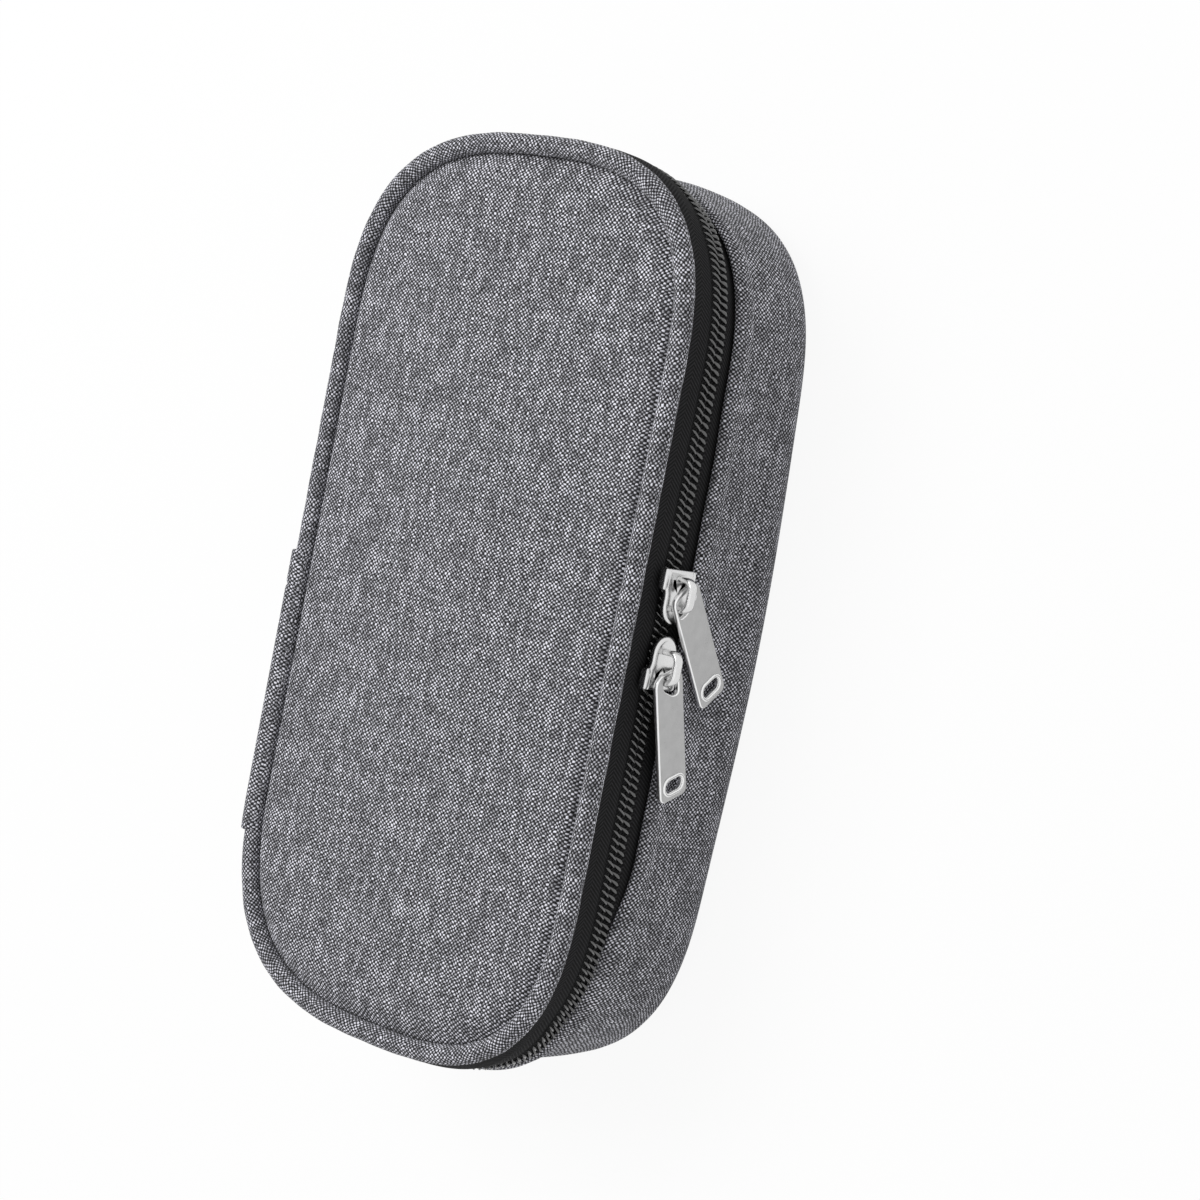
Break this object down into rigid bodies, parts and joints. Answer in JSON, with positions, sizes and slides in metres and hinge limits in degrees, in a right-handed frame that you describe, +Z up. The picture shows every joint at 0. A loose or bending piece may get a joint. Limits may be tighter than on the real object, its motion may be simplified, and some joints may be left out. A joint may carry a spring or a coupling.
{
  "type": "insulin cooling case",
  "caption": "Soft zipped cooling case with a foil-lined base and hinged lid, a fold-over net organizer, gel packs and a thermometer strip.",
  "frame": {"origin": "middle of the back panel's underside, the flat face that the case lies on", "axes": "+Z up through the lid, +Y along the case, +X from the fabric spine to the zip side"},
  "size_m": [0.1054, 0.2, 0.05],
  "materials": {
    "heather_cloth": "heather woven polyester",
    "zip_tape": "black herringbone woven tape",
    "zip_coil": "black nylon coil, satin",
    "foam": "closed-cell foam sheet",
    "foil": "crinkled aluminised film",
    "binding": "black woven binding tape",
    "lining": "blue-grey lining cloth",
    "netting": "grey knitted mesh",
    "elastic": "light-grey woven elastic",
    "gel_film": "navy gel pack film",
    "rubber_frame": "black ribbed rubber",
    "card": "white printed card with plain cells",
    "satin_metal": "satin nickel-plated zinc"
  },
  "bodies": {
    "base": {"back_panel": "heather_cloth", "side_gusset": "heather_cloth", "base_foam": "foam", "base_liner": "foil", "base_zip_tape": "zip_tape", "base_zip_coil": "zip_coil", "base_spine": "heather_cloth", "base_ice_pack": "gel_film", "lower_leaf": "heather_cloth", "lower_leaf_binding": "binding", "lower_mesh_pocket": "netting", "lower_elastic_band": "elastic", "pocket_ice_pack": "gel_film", "organizer_fold": "lining"},
    "lid": {"lid_panel": "heather_cloth", "lid_piping": "heather_cloth", "lid_foam": "foam", "lid_liner": "foil", "lid_zip_tape": "zip_tape", "lid_zip_coil": "zip_coil", "lid_spine": "heather_cloth", "lid_ice_pack": "gel_film"},
    "flap": {"upper_leaf": "lining", "upper_leaf_binding": "binding", "upper_mesh_pocket": "netting", "upper_elastic_band": "elastic", "thermometer_frame": "rubber_frame", "thermometer_card": "card"},
    "slider_upper": {"slider_upper": "satin_metal"},
    "slider_lower": {"slider_lower": "satin_metal"},
    "pull_upper": {"pull_upper": "satin_metal"},
    "pull_lower": {"pull_lower": "satin_metal"}
  },
  "joints": [
    {"name": "lid_hinge", "type": "hinge", "parent": "base", "child": "lid", "pos_m": [-0.0518, 0, 0.03475], "axis": [0, -1, 0], "range_deg": [0, 120]},
    {"name": "flap_hinge", "type": "hinge", "parent": "base", "child": "flap", "pos_m": [-0.0408, 0, 0.0378], "axis": [0, -1, 0], "range_deg": [0, 108]},
    {"name": "slider_upper_slide", "type": "slide", "parent": "base", "child": "slider_upper", "axis": [0, 1, 0], "range_m": [0, 0.034]},
    {"name": "slider_lower_slide", "type": "slide", "parent": "base", "child": "slider_lower", "axis": [0, -1, 0], "range_m": [0, 0.034]},
    {"name": "pull_upper_flip", "type": "hinge", "parent": "slider_upper", "child": "pull_upper", "pos_m": [0.0509, 0.0112, 0.03475], "axis": [0, -0.6157, 0.788], "range_deg": [0, 150]},
    {"name": "pull_lower_flip", "type": "hinge", "parent": "slider_lower", "child": "pull_lower", "pos_m": [0.0509, -0.0064, 0.03475], "axis": [0, -0.3584, 0.9336], "range_deg": [0, 150]}
  ],
  "couplings": [
    {"joint": "flap_hinge", "follows": "lid_hinge", "ratio": 0.9}
  ]
}
